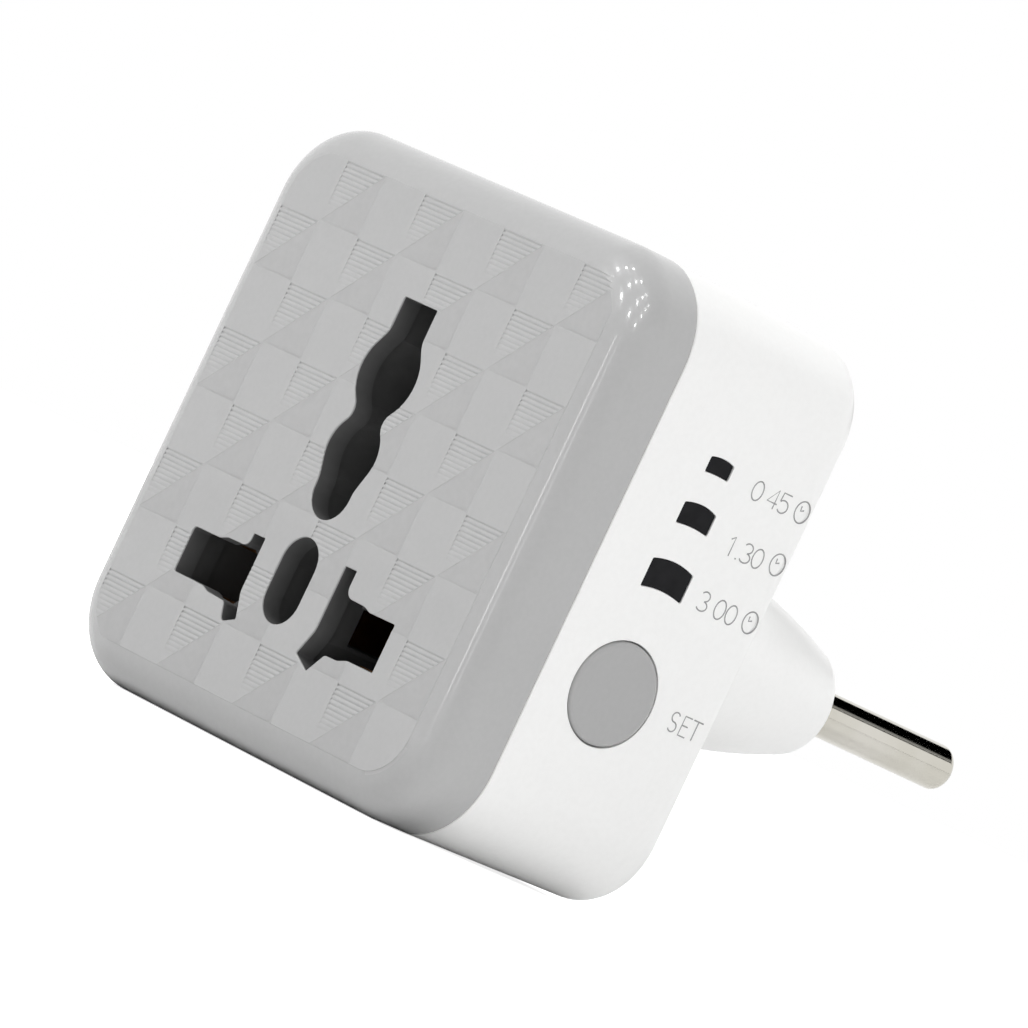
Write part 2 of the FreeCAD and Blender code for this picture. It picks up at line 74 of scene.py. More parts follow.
def node_box(name):
    """The lowest and highest corner of a CAD node, in millimetres."""
    low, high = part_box(name)
    return np.array(low) * 1000, np.array(high) * 1000


shell_low, shell_high = node_box("front_shell")
button_low, button_high = node_box("set_button")
pin_low, pin_high = node_box("line_pin")
board_low, board_high = node_box("main_board")
case_half = shell_high[0]
rise = (shell_high[2] + shell_low[2]) / 2
front_y = shell_low[1]
seam_y = node_box("rear_housing")[0][1]
side_y = (button_low[1] + button_high[1]) / 2
button_z = (button_low[2] + button_high[2]) / 2
pin_x = (pin_low[0] + pin_high[0]) / 2
print("face", round(2 * case_half, 2), "mm, front half", round(seam_y - front_y, 2), "mm deep")

# %% [markdown]
# Walls, fillets, drafts and the screws' places show in no box. A cutter goes past the surface that it
# cuts by `cut_past`, so that no two faces lie in one plane, and `snug` is a screw's or a pin's play.

# %% Sizes that no box gives
boss_depth = 19.5
back_y = -boss_depth
corner_r = 7.5
front_round = 3.7
rear_round = 2.6
case_draft = 0.4
case_wall = 1.8
panel_wall = 2.0
lip_wall = 1.1
lip_long = 1.6
lip_clear = 0.1
seam_round = 0.2
inner_half = case_half - case_draft - case_wall
panel_in_y = front_y + panel_wall
rear_in_y = back_y - case_wall
screw_edge_x = 6.55
screw_edge_z = 6.85
screw_places = [(side * (case_half - screw_edge_x), rise + side * (case_half - screw_edge_z))
                for side in (-1, 1)]
cut_past = 1.0
snug = 0.02
print("back at", round(back_y, 2), "mm, inner half", round(inner_half, 2), "mm, screws at", screw_places)

# %% [markdown]
# ## From arrays to meshes
# Almost every moulding here is a stack of closed rings: the same outline again and again, a little
# further along and a little smaller. Rings joined by quads with a cap at each end make a closed
# solid, and closed solids can be joined and cut by Blender's exact boolean, as a maker joins and
# cuts. Flat faces stay flat and fillets stay smooth, because the shading is split only where two
# faces meet at a clear angle, and weighted normals let the big faces win.

# %% Ring stacks
sharp_angle = np.radians(28)


def new_piece(name, points, faces):
    """A mesh object from points in millimetres, with its faces turned outwards."""
    mesh = bpy.data.meshes.new(name)
    mesh.from_pydata((np.asarray(points) / 1000).tolist(), [], faces)
    sheet = bmesh.new()
    sheet.from_mesh(mesh)
    bmesh.ops.recalc_face_normals(sheet, faces=sheet.faces)
    sheet.to_mesh(mesh)
    sheet.free()
    piece = bpy.data.objects.new(name, mesh)
    bpy.context.scene.collection.objects.link(piece)
    return piece


def stack_faces(count, around, first=0):
    """The faces of a stack: a quad from each ring point to the next ring, and a cap at each end."""
    index = first + np.arange(count * around).reshape(count, around)
    ahead = np.roll(index, -1, axis=1)
    quads = np.stack([index[:-1], ahead[:-1], ahead[1:], index[1:]], axis=-1).reshape(-1, 4)
    return quads.tolist() + [index[0].tolist(), index[-1][::-1].tolist()]


def ring_solid(name, rings):
    """One closed solid from rings of points, an array of rings x points x 3."""
    rings = np.asarray(rings, float)
    return new_piece(name, rings.reshape(-1, 3), stack_faces(*rings.shape[:2]))


def ring_solids(name, stacks):
    """Many closed solids in one object, from a list of arrays of rings x points x 3."""
    starts = np.cumsum([0] + [stack[..., 0].size for stack in stacks[:-1]])
    faces = [face for start, stack in zip(starts, stacks) for face in stack_faces(*stack.shape[:2], start)]
    return new_piece(name, np.concatenate([stack.reshape(-1, 3) for stack in stacks]), faces)


def carve(body, operation, *tools):
    """Joins or cuts a solid with others by the exact boolean, and removes the tools."""
    for tool in tools:
        step = body.modifiers.new("carve", "BOOLEAN")
        step.operation = operation
        step.solver = "EXACT"
        step.object = tool
    graph = bpy.context.evaluated_depsgraph_get()
    made = bpy.data.meshes.new_from_object(body.evaluated_get(graph))
    body.modifiers.clear()
    body.data = made
    for tool in tools:
        bpy.data.objects.remove(tool)
    return body


def finish_piece(piece, body, material, replaced=None):
    """Shades a piece, gives it its finish and hangs it on its CAD body."""
    piece.data.materials.clear()
    piece.data.materials.append(material)
    piece.data.polygons.foreach_set("use_smooth", np.ones(len(piece.data.polygons), bool))
    piece.data.set_sharp_from_angle(angle=sharp_angle)
    weighted = piece.modifiers.new("weighted", "WEIGHTED_NORMAL")
    weighted.keep_sharp = True
    weighted.weight = 100
    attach(piece, body)
    if replaced:
        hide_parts(replaced)
    print(piece.name, len(piece.data.polygons), "faces")
    return piece


# %% [markdown]
# ## Outlines
# An outline is a closed run of points in a plane. Round corners are arcs: a centre, a radius and an
# angle that runs evenly. The same outline moved in by an inset keeps its point count, so outlines of
# different insets can follow each other in a stack.

# %% Outlines as formulas


def arc_points(centre, radius, start, end, steps):
    """Points on an arc: centre + radius * (cos a, sin a), with a running evenly in degrees."""
    angle = np.radians(np.linspace(start, end, steps + 1))
    return np.stack([centre[0] + radius * np.cos(angle), centre[1] + radius * np.sin(angle)], axis=1)


def rounded_square(half, radius, steps=14):
    """A square with round corners: four quarter arcs about points half - radius from the middle."""
    flat = half - radius
    corners = [(flat, flat, 0), (-flat, flat, 90), (-flat, -flat, 180), (flat, -flat, 270)]
    return np.concatenate([arc_points((x, z), radius, turn, turn + 90, steps) for x, z, turn in corners])


def stadium(flat, radius, steps=28):
    """Two half circles whose centres lie a flat's length each side of the middle."""
    return np.concatenate([arc_points((flat, 0), radius, -90, 90, steps),
                           arc_points((-flat, 0), radius, 90, 270, steps)])


def circle(radius, steps=64):
    """A closed circle about the middle, without its repeated last point."""
    return arc_points((0, 0), radius, 0, 360, steps)[:-1]


def offset(outline, grow):
    """Moves each side of a closed outline outwards by grow: a corner moves by grow * (a + b) / (1 + a.b),
    where a and b are the outward normals of its two sides."""
    side = np.roll(outline, -1, axis=0) - outline
    normal = np.stack([side[:, 1], -side[:, 0]], axis=1)
    normal /= np.linalg.norm(normal, axis=1, keepdims=True)
    before = np.roll(normal, 1, axis=0)
    dot = np.sum(normal * before, axis=1, keepdims=True)
    return outline + grow * (normal + before) / (1 + dot)


def ring_y(outline, y, x=0.0, z=0.0):
    """An outline's points in a plane across Y, about a point of that plane."""
    return np.stack([outline[:, 0] + x, np.full(len(outline), float(y)), outline[:, 1] + z], axis=1)


def ring_x(outline, x, y=0.0, z=0.0):
    """An outline's points in a plane across X, about a point of that plane."""
    return np.stack([np.full(len(outline), float(x)), outline[:, 0] + y, outline[:, 1] + z], axis=1)


def fillet(radius, steps):
    """A fillet from a wall to a face, as pairs (inset, drop) that run from (radius, 0) to (0, radius):
    inset = radius * (1 - sin a) and drop = radius * (1 - cos a), while a makes a quarter turn."""
    angle = np.linspace(0, np.pi / 2, steps + 1)
    return radius * np.stack([1 - np.sin(angle), 1 - np.cos(angle)], axis=1)


def rod_y(name, x, z, radius, y0, y1):
    """A round rod along Y."""
    return ring_solid(name, [ring_y(circle(radius), y, x, z) for y in (y0, y1)])


# %% [markdown]
# ## Colours and finishes
# Colours are written as sRGB hex, as read off the photograph, and turned to linear
# light by one function. Each finish is a Principled shader. Values that are the same all over sit
# on the shader itself, and a pattern that varies, such as mould grain, is made of nodes that read
# Object coordinates, so its scale is a real size.

# %% Helpers for materials


def linear(colour):
    """sRGB hex to linear light: part / 12.92 for a small part, ((part + 0.055) / 1.055) ** 2.4 above."""
    parts = [int(colour[start:start + 2], 16) / 255 for start in (1, 3, 5)]
    return tuple(part / 12.92 if part < 0.04045 else ((part + 0.055) / 1.055) ** 2.4
                 for part in parts) + (1.0,)


def add(tree, kind, inputs, **settings):
    """One node with its settings. An input is a plain value, or a socket that it is linked from."""
    made = tree.nodes.new(kind)
    for name, value in settings.items():
        setattr(made, name, value)
    for name, value in inputs.items():
        if isinstance(value, bpy.types.NodeSocket):
            tree.links.new(value, made.inputs[name])
        else:
            made.inputs[name].default_value = value
    return made


def new_material(name, **values):
    """A Principled material with its constants set on the shader's own sockets."""
    material = bpy.data.materials.new(name)
    material.use_nodes = True
    shader = material.node_tree.nodes["Principled BSDF"]
    for socket, value in values.items():
        shader.inputs[socket.replace("_", " ")].default_value = value
    place = add(material.node_tree, "ShaderNodeTexCoord", {})
    return material, material.node_tree, shader, place.outputs["Object"]


def noise(tree, place, size_mm, detail):
    """The level of a noise whose features have a size in millimetres: its scale is per metre."""
    return add(tree, "ShaderNodeTexNoise",
               {"Vector": place, "Scale": 1000.0 / size_mm, "Detail": detail}).outputs["Fac"]


def vary_colour(tree, shader, place, colours, size_mm):
    """The colour drifts between two close shades, in patches of a size."""
    shades = add(tree, "ShaderNodeValToRGB", {"Fac": noise(tree, place, size_mm, 3.0)})
    for stop, (position, colour) in zip(shades.color_ramp.elements, zip((0.35, 0.65), colours)):
        stop.position = position
        stop.color = linear(colour)
    tree.links.new(shades.outputs["Color"], shader.inputs["Base Color"])


def vary_gloss(tree, shader, place, low, high, size_mm):
    """The roughness drifts between two values, as on a moulding that has been handled."""
    spread = add(tree, "ShaderNodeMapRange", {"Value": noise(tree, place, size_mm, 4.0), "From Min": 0.3,
                                              "From Max": 0.7, "To Min": low, "To Max": high})
    tree.links.new(spread.outputs["Result"], shader.inputs["Roughness"])


def grain(tree, shader, place, size_mm, height_mm, strength=1.0):
    """A fine bump, as mould grain, with a feature size and a height."""
    bump = add(tree, "ShaderNodeBump", {"Strength": strength, "Distance": height_mm / 1000,
                                        "Height": noise(tree, place, size_mm, 2.0)})
    tree.links.new(bump.outputs["Normal"], shader.inputs["Normal"])


# %% [markdown]
# ### Moulded plastics
# The case is ABS. Moulded against a polished tool it comes out with a soft gloss and a very fine
# orange peel, and against an etched one it comes out matt. The white half is the same plastic with a
# white pigment. The insert behind the face is dark grey polyamide, duller and rougher. They could be
# flat colours, but a real moulding is never quite even, so one function varies them all.

# %% Plastics of the case


def varied_finish(name, colours, patch_mm, fine=None, gloss=None, **values):
    """A finish of two close shades in patches of a size. Where they are given, its gloss drifts (low,
    high, size) and it has a fine grain (size, height). All sizes are in millimetres."""
    material, tree, shader, place = new_material(name, **values)
    vary_colour(tree, shader, place, colours, patch_mm)
    if gloss:
        vary_gloss(tree, shader, place, *gloss)
    if fine:
        grain(tree, shader, place, *fine)
    return material


def grey_abs():
    """Grey ABS from a polished mould: faint orange peel, almost even colour, and a thin clear coat for
    the sharp part of its gloss, which mirrors small lights as dots."""
    return varied_finish("grey_moulded_abs", ("#B2B2B2", "#B4B4B4"), 0.5, (0.35, 0.002), (0.23, 0.27, 0.5),
                         IOR=1.53, Roughness=0.25, Coat_Weight=0.5, Coat_Roughness=0.04)


def etched_abs():
    """The same grey ABS where the tool was etched: matt, so it mirrors less of the room."""
    return varied_finish("grey_etched_abs", ("#B1B1B1", "#B4B4B4"), 0.6, (0.15, 0.004),
                         IOR=1.53, Roughness=0.6)


def white_abs():
    """White ABS from a polished mould: brighter, with the same fine peel."""
    return varied_finish("white_moulded_abs", ("#F7F7F6", "#F9F9F8"), 0.5, (0.4, 0.003), (0.29, 0.33, 0.5),
                         IOR=1.53, Roughness=0.3)


def button_abs():
    """The button's ABS, a tone darker than the face, with a satin top."""
    return varied_finish("button_satin_abs", ("#ABABAB", "#ADADAD"), 0.5, (0.25, 0.004), (0.36, 0.44, 2.0),
                         IOR=1.53, Roughness=0.4)


def insert_polyamide():
    """Polyamide of the insert: a dull charcoal, which the depth of the holes darkens further."""
    return varied_finish("black_polyamide", ("#5A5A5A", "#5E5E5E"), 2.0, (0.3, 0.002),
                         Roughness=0.8, Specular_IOR_Level=0.1)


def paler_lit_collar_polyamide():
    """The same polyamide on the collars, painted a shade paler as painted light where their near walls reach
    the light, and with a little more sheen.
    """
    return varied_finish("charcoal_polyamide_painted_paler", ("#5C5C5C", "#606060"), 2.0, (0.3, 0.002),
                         Roughness=0.6, Specular_IOR_Level=0.3)


def smoked_acrylic():
    """Smoked acrylic of the windows: near black and polished."""
    return varied_finish("smoked_acrylic", ("#151517", "#1C1C1E"), 1.5, gloss=(0.08, 0.16, 1.0),
                         Roughness=0.1, Specular_IOR_Level=0.12)


def pad_print():
    """The grey ink of the marks: matt, thin and a little uneven."""
    return varied_finish("grey_pad_print", ("#8C8C8C", "#A0A0A0"), 0.6, IOR=1.5, Roughness=0.6)


# %% [markdown]
# ### Metals and electronics
# The pins are brass with a bright nickel plate, turned before plating, so fine rings run round them.
# The strips inside are phosphor bronze, and the screws are zinc plated steel.

# %% Metals


def turned_nickel():
    """Bright nickel over turned brass: fine rings round the pin, which a stretched noise draws."""
    material, tree, shader, place = new_material("turned_nickel_plate", Metallic=1.0, Roughness=0.1)
    stretch = add(tree, "ShaderNodeMapping", {"Vector": place, "Scale": (0.02, 1.0, 0.02)})
    grain(tree, shader, stretch.outputs["Vector"], size_mm=0.12, height_mm=0.004, strength=0.35)
    vary_colour(tree, shader, place, ("#CFCCC2", "#D6D3CB"), size_mm=5.0)
    vary_gloss(tree, shader, place, 0.08, 0.12, size_mm=2.0)
    return material


def shade_darkened_bronze_strip():
    """Rolled phosphor bronze with the rolls' fine grain, painted dark as painted shade for the strips that
    sit deep in the holes.
    """
    return varied_finish("phosphor_bronze_painted_shade", ("#6A4A2C", "#745233"), 3.0, (0.15, 0.0005),
                         Metallic=1.0, Roughness=0.32)


def zinc_steel():
    """Zinc plated steel of the screws: bluish grey and slightly cloudy."""
    return varied_finish("zinc_plated_steel", ("#A9ADB0", "#B9BCBE"), 1.0, (0.2, 0.003),
                         Metallic=1.0, Roughness=0.35)


# %% [markdown]
# The parts on the boards can't be seen in the closed case, but each still gets the finish that it has
# in reality. Lacquer, film, sleeve and epoxy differ only in colour, gloss and grain.

# %% Boards and their parts
green_board = varied_finish("green_solder_resist", ("#1E5B33", "#236A3B"), 4.0, (0.3, 0.01), Roughness=0.35)
relay_case = varied_finish("blue_relay_case", ("#1C4C8C", "#205496"), 5.0, (0.3, 0.004), Roughness=0.35)
film_case = varied_finish("yellow_film_case", ("#D9A520", "#E0AE2C"), 4.0, (0.3, 0.005), Roughness=0.4)
can_sleeve = varied_finish("black_shrink_sleeve", ("#17181B", "#1E2024"), 3.0, (0.5, 0.01), Roughness=0.3)
resistor_lacquer = varied_finish("blue_green_lacquer", ("#4E8C93", "#5A989E"), 1.5, (0.2, 0.01),
                                 Roughness=0.35)
moulded_epoxy = varied_finish("moulded_epoxy", ("#18181A", "#202022"), 1.0, (0.1, 0.01), Roughness=0.55)
clear_epoxy = varied_finish("clear_epoxy_light", ("#E8DFB8", "#F0E8C8"), 0.8, (0.3, 0.002), Roughness=0.15)
grey_plastic = grey_abs()
etched_plastic = etched_abs()
white_plastic = white_abs()
button_plastic = button_abs()
insert_plastic = insert_polyamide()
paler_lit_collar_plastic = paler_lit_collar_polyamide()
smoked_plastic = smoked_acrylic()
mark_ink = pad_print()
nickel = turned_nickel()
# The contact strips' bronze is painted dark: painted shade for their place deep in the holes.
bronze = shade_darkened_bronze_strip()
zinc = zinc_steel()
print(len(bpy.data.materials), "finishes")

# %% [markdown]
# ## CAD nodes that stay
# Whatever the closed case hides keeps its CAD mesh, because its shape is right already. It only
# needs its finish. A node that a finer piece replaces gets the same finish as that piece.

# %% Finishes for the nodes that stay
node_finishes = {
    "front_shell": grey_plastic, "rear_housing": white_plastic, "case_screws": zinc,
    "socket_insert": insert_plastic, "line_contact": bronze, "neutral_contact": bronze,
    "line_pin": nickel, "neutral_pin": nickel, "line_strap": bronze, "neutral_strap": bronze,
    "main_board": green_board, "relay": relay_case, "dropper_capacitor": film_case,
    "smoothing_capacitor": can_sleeve, "fusible_resistor": resistor_lacquer,
    "rectifier_diodes": moulded_epoxy, "controller_chip": moulded_epoxy, "side_board": green_board,
    "status_leds": clear_epoxy, "set_button": button_plastic, "switch_body": moulded_epoxy,
    "switch_plunger": white_plastic, "short_time_window": smoked_plastic,
    "middle_time_window": smoked_plastic, "long_time_window": smoked_plastic,
}
for name, finish in node_finishes.items():
    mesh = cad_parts[name].data
    mesh.materials.clear()
    mesh.materials.append(finish)
print(len(node_finishes), "nodes have their finish")

# %% [markdown]
# ## Socket holes
# The face takes several kinds of plug, so its holes are odd shapes: a tall earth hole, an oval, and
# two power holes that join a blade hole, an upright slot and a slanted leg. They could be unions of
# rectangles and circles, but the mould has a fillet wherever two of them meet. So each outline is a
# polygon with a radius for every corner, and one function turns corners into arcs. A corner with a
# large radius is a long curve, and its polygon's sides are the curve's tangents.

# %% Outlines of the holes


def round_corners(corners, steps=8):
    """A polygon of corners (x, z, radius), each rounded: an arc starts radius * tan(half the turn)
    before its corner and ends as far after it, and its points turn evenly about the arc's centre."""
    corners = np.array(corners, float)
    points = corners[:, :2]
    toward = np.roll(points, -1, axis=0) - points
    toward /= np.linalg.norm(toward, axis=1, keepdims=True)
    came = np.roll(toward, 1, axis=0)
    cross = came[:, 0] * toward[:, 1] - came[:, 1] * toward[:, 0]
    turn = np.arctan2(cross, np.sum(came * toward, axis=1))
    reach = corners[:, 2] * np.tan(np.abs(turn) / 2)
    inward = np.stack([-came[:, 1], came[:, 0]], axis=1) * np.sign(turn)[:, None]
    start = points - came * reach[:, None]
    spoke = -inward * corners[:, 2:3]
    across = np.stack([-spoke[:, 1], spoke[:, 0]], axis=1)
    angle = turn[:, None, None] * np.linspace(0, 1, steps + 1)[None, :, None]
    arcs = (start - spoke)[:, None] + spoke[:, None] * np.cos(angle) + across[:, None] * np.sin(angle)
    return arcs.reshape(-1, 2)


def mirrored(half):
    """A symmetric polygon from the corners of its right half, listed from the foot upwards."""
    half = np.array(half)
    return np.concatenate([half, half[::-1] * (-1, 1, 1)])


earth_corners = mirrored([
    (2.45, -3.02, 2.44), (2.45, 0.08, 3.0), (3.78, 3.73, 3.25), (1.62, 6.14, 1.35), (4.71, 9.58, 3.75),
    (2.28, 13.32, 2.0), (2.28, 16.38, 0.15),
])
oval_corners = mirrored([(2.33, -12.42, 2.32), (2.33, -4.78, 2.32)])
right_corners = [
    (14.45, -12.35, 0.12), (14.45, -8.06, 0.12), (10.9, -8.12, 1.5), (10.0, -7.84, 1.5), (7.22, -7.8, 0.95),
    (7.22, -5.55, 0.12), (5.62, -5.55, 0.12), (5.62, -11.35, 2.5), (4.6, -13.62, 0.15), (6.72, -14.6, 0.2),
    (8.05, -12.78, 0.5), (9.7, -12.76, 1.5), (10.9, -12.38, 1.5),
]
left_corners = [
    (-14.42, -12.1, 0.25), (-10.1, -12.12, 1.2), (-9.3, -12.4, 1.2), (-6.75, -12.5, 0.45),
    (-6.05, -14.1, 0.45), (-4.33, -13.42, 0.15), (-5.28, -11.2, 1.5), (-5.28, -6.42, 0.12),
    (-6.93, -6.42, 0.12), (-7.0, -7.62, 0.75), (-9.75, -7.68, 1.2), (-10.8, -8.0, 1.2),
    (-14.42, -8.03, 0.35),
]
least_round = 0.05
holes = {"earth": earth_corners, "oval": oval_corners, "right": right_corners, "left": left_corners}


def hole_outline(corners, grow=0.0):
    """A hole's outline, grown: each side moves outwards, an outward corner's radius grows with it, and
    an inward corner's shrinks."""
    corners = np.array(corners, float)
    toward = np.roll(corners[:, :2], -1, axis=0) - corners[:, :2]
    came = np.roll(toward, 1, axis=0)
    outward = np.sign(came[:, 0] * toward[:, 1] - came[:, 1] * toward[:, 0])
    radius = np.maximum(corners[:, 2] + grow * outward, least_round)
    return round_corners(np.column_stack([offset(corners[:, :2], grow), radius]))


for name, corners in holes.items():
    outline = hole_outline(corners)
    ahead = np.roll(outline, -1, axis=0)
    area = np.sum(outline[:, 0] * ahead[:, 1] - outline[:, 1] * ahead[:, 0]) / 2
    print(name, "hole,", len(outline), "points,", round(area, 1), "mm2")

# %% [markdown]
# ## Front shell
# The grey front is a shallow tray with a well rounded rim. It could be cut from a block and bevelled,
# but a stack of rounded squares follows the fillet exactly: each ring is a little smaller and a
# little nearer to the face. A smaller stack cuts the hollow, and a lip goes into the rear half.

# %% Tray, lip and posts
cavity_r = corner_r - case_wall - case_draft
screw_shank_r, screw_head_r, screw_recess, screw_clear = 1.3, 2.5, 3.0, 0.2
front_post_r, rear_post_r = 2.8, 3.7
pilot_deep = 11.8
lip_root = 0.5
plateau_half = 22.27
plateau_step = 0.03
board_front_y, board_back_y = board_low[1], board_high[1]


def case_ring(half, radius, y):
    """A rounded square of the case, in a plane across the depth and about the case's own middle."""
    return ring_y(rounded_square(half, radius, 20), y, z=rise)


def case_stack(name, half, radius, y0, y1):
    """A plain block with the case's round corners."""
    return ring_solid(name, [case_ring(half, radius, y) for y in (y0, y1)])


def shell_rings():
    """From the seam to the face: a tiny edge round, the wall, the rim's fillet as far as the plateau of
    the face, and the step up to it."""
    def ring(inset, y):
        return case_ring(case_half - inset, corner_r - inset, y)
    rings = [ring(inset, seam_y - drop) for inset, drop in fillet(seam_round, 3)]
    plateau_turn = np.arccos(1 - (case_half - plateau_half) / front_round)
    rings += [ring(front_round * (1 - np.cos(turn)), front_y + front_round * (1 - np.sin(turn)))
              for turn in np.linspace(0, plateau_turn, 18)]
    return rings + [ring(case_half - plateau_half + plateau_step, front_y)]


shell = ring_solid("grey_front_shell", shell_rings())
lip = case_stack("lip", inner_half - lip_clear, cavity_r, seam_y - lip_root, seam_y + lip_long)
hollow = case_stack("hollow", inner_half - lip_clear - lip_wall, cavity_r - lip_wall, panel_in_y,
                    seam_y + lip_long + cut_past)
carve(shell, "UNION", lip)
carve(shell, "DIFFERENCE", hollow)
for x, z in screw_places:
    carve(shell, "UNION", rod_y("post", x, z, front_post_r, front_y + panel_wall / 2, board_front_y))
    carve(shell, "DIFFERENCE", rod_y("pilot", x, z, screw_shank_r + snug, board_front_y - pilot_deep,
                                     board_front_y + cut_past))
print("tray with lip and posts,", len(shell.data.polygons), "faces")

# %% [markdown]
# The face is a plateau of eight by eight cells. In every second cell the lower right half is a slope
# that sinks toward the cell's corner, and the upper left half has fine level grooves that grow shallower
# toward the foot. The toolmaker cut them all into one steel insert, so here they are all real cuts. The
# slopes and the grooves are small prisms in two objects, and the shell is cut by them before the holes.

# %% Cells of the face
cell_count = 8
cell = 2 * plateau_half / cell_count
cell_gap = 0.06
slope_start, slope_deep = 0.012, 0.12
groove_pitch, groove_half, groove_deep, groove_count = 0.42, 0.158, 0.1, 10
groove_over = 0.3


def slope_cutter(left, foot):
    """A wedge over a cell's lower right half: a hair deep at the diagonal, and deepest at the corner."""
    near, far = cell_gap, cell - cell_gap
    corners = np.array([(near, near), (far, near), (far, far)]) + (left, foot)
    sunk = front_y + np.array([slope_start, slope_deep, slope_start])
    outside = np.full(3, front_y - cut_past)
    return np.stack([np.stack([corners[:, 0], y, corners[:, 1]], axis=1) for y in (outside, sunk)])


def groove_cutter(left, foot, number):
    """A V groove below a cell's top, from the left edge to the diagonal. Its depth is the first one's
    times (1 - number / count), and its prism goes on past the face by a part of that depth."""
    deep = groove_deep * (1 - number / groove_count)
    y = front_y + deep * np.array([1.0, -groove_over, -groove_over])
    flank = groove_half * (1 + groove_over)
    z = foot + cell - cell_gap - groove_pitch * (number + 0.5) + flank * np.array([0.0, 1.0, -1.0])
    ends = (np.full(3, left + cell_gap), left + (z - foot) - 2 * cell_gap)
    return np.stack([np.stack([x, y, z], axis=1) for x in ends])


cell_corners = [(column * cell - plateau_half, rise + plateau_half - (row + 1) * cell)
                for row in range(cell_count) for column in range(cell_count) if (row + column) % 2]
slopes = ring_solids("slopes", [slope_cutter(*corner) for corner in cell_corners])
grooves = ring_solids("grooves", [groove_cutter(*corner, number) for corner in cell_corners
                                  for number in range(groove_count)])
carve(shell, "DIFFERENCE", slopes)
carve(shell, "DIFFERENCE", grooves)
print(len(cell_corners), "patterned cells,", len(shell.data.polygons), "faces")

# %% [markdown]
# The holes are cut last. At the face each hole has a rounded edge, then a thin rim, and behind the rim
# it widens so that a dark collar of the insert can line it. That's why the walls of the holes look
# dark almost from the edge.

# %% Holes and their collars
hole_edge = 0.1
rim_deep = 0.16
collar_wall = 0.6
collar_fit = 0.05
collar_end_gap = 0.01
pattern_steepest = np.radians(40)


def hole_cutter(corners):
    """A hole's cutter, from outside inwards: a rounded edge, the rim, then the room for the collar."""
    rings = [ring_y(hole_outline(corners, hole_edge), front_y - cut_past)]
    rings += [ring_y(hole_outline(corners, inset), front_y + drop) for inset, drop in fillet(hole_edge, 4)]
    rings.append(ring_y(hole_outline(corners), front_y + rim_deep))
    wide = hole_outline(corners, collar_wall + collar_fit)
    return ring_solid("hole", rings + [ring_y(wide, y) for y in (front_y + rim_deep, panel_in_y + cut_past)])


carve(shell, "DIFFERENCE", *[hole_cutter(corners) for corners in holes.values()])
finish_piece(shell, "case", grey_plastic, "front_shell")


def shade_pattern(piece, slope_finish):
    """Keeps the plateau's faces flat, and gives the slopes their own finish. A slope is told from a
    groove by its normal, which leans toward +X and -Z by about the sine of the slope's angle."""
    count = len(piece.data.polygons)
    middle, normal = np.zeros((count, 3)), np.zeros((count, 3))
    piece.data.polygons.foreach_get("center", middle.ravel())
    piece.data.polygons.foreach_get("normal", normal.ravel())
    middle = middle * 1000 - (0, 0, rise)
    inside = np.max(np.abs(middle[:, [0, 2]]), axis=1) < plateau_half
    flat = inside & (middle[:, 1] < front_y + slope_deep) & (normal[:, 1] < -np.cos(pattern_steepest))
    lean = np.sin(np.arctan2(slope_deep, cell)) / 2
    slope = flat & (normal[:, 0] > lean) & (normal[:, 2] < -lean)
    piece.data.polygons.foreach_set("use_smooth", ~flat)
    piece.data.materials.append(slope_finish)
    piece.data.polygons.foreach_set("material_index", slope.astype(np.int32))
    print(int(slope.sum()), "slope faces")


shade_pattern(shell, etched_plastic)

collars = None
for name, corners in holes.items():
    outer = ring_solid(name + "_collar", [ring_y(hole_outline(corners, collar_wall), y)
                                          for y in (front_y + rim_deep, panel_in_y - collar_end_gap)])
    inner = ring_solid("bore", [ring_y(hole_outline(corners), y) for y in (front_y, panel_in_y + cut_past)])
    carve(outer, "DIFFERENCE", inner)
    collars = carve(collars, "UNION", outer) if collars else outer
collars.name = "black_hole_collars"
# The collars take the polyamide painted a shade paler, as painted light on their near walls.
finish_piece(collars, "case", paler_lit_collar_plastic)

# %% [markdown]
# ## Rear housing
# The white half is a drafted box, so each ring toward the back is slightly smaller, with a fillet at
# the rear edge. The plug's boss is a stack of stadiums with a larger draft, a wall that bulges a little
# and a large round rim, which makes its side look like one long curve.

# %% Outside of the rear housing
boss_flat = 10.7
boss_root_r = 8.1
boss_end_r = 4.7
boss_rim = 2.6
boss_flare = 0.2
boss_bulge = 0.75
pin_root_r = 2.2
boss_end_wall = 4.0
boss_hollow_r = 3.3
boss_hollow_past_pin = 1.2


def drafted(y):
    """How far the rear half's walls have moved in at a depth, which grows evenly from the seam."""
    return case_draft * (y - seam_y) / (back_y - seam_y)


def rear_rings():
    """From the seam to the back: a tiny edge round, the drafted wall, then the rear fillet."""
    def ring(inset, y):
        return case_ring(case_half - drafted(y) - inset, corner_r - drafted(y) - inset, y)
    rings = [ring(inset, seam_y + drop) for inset, drop in fillet(seam_round, 3)]
    return rings + [ring(drop, back_y - inset) for inset, drop in fillet(rear_round, 12)]


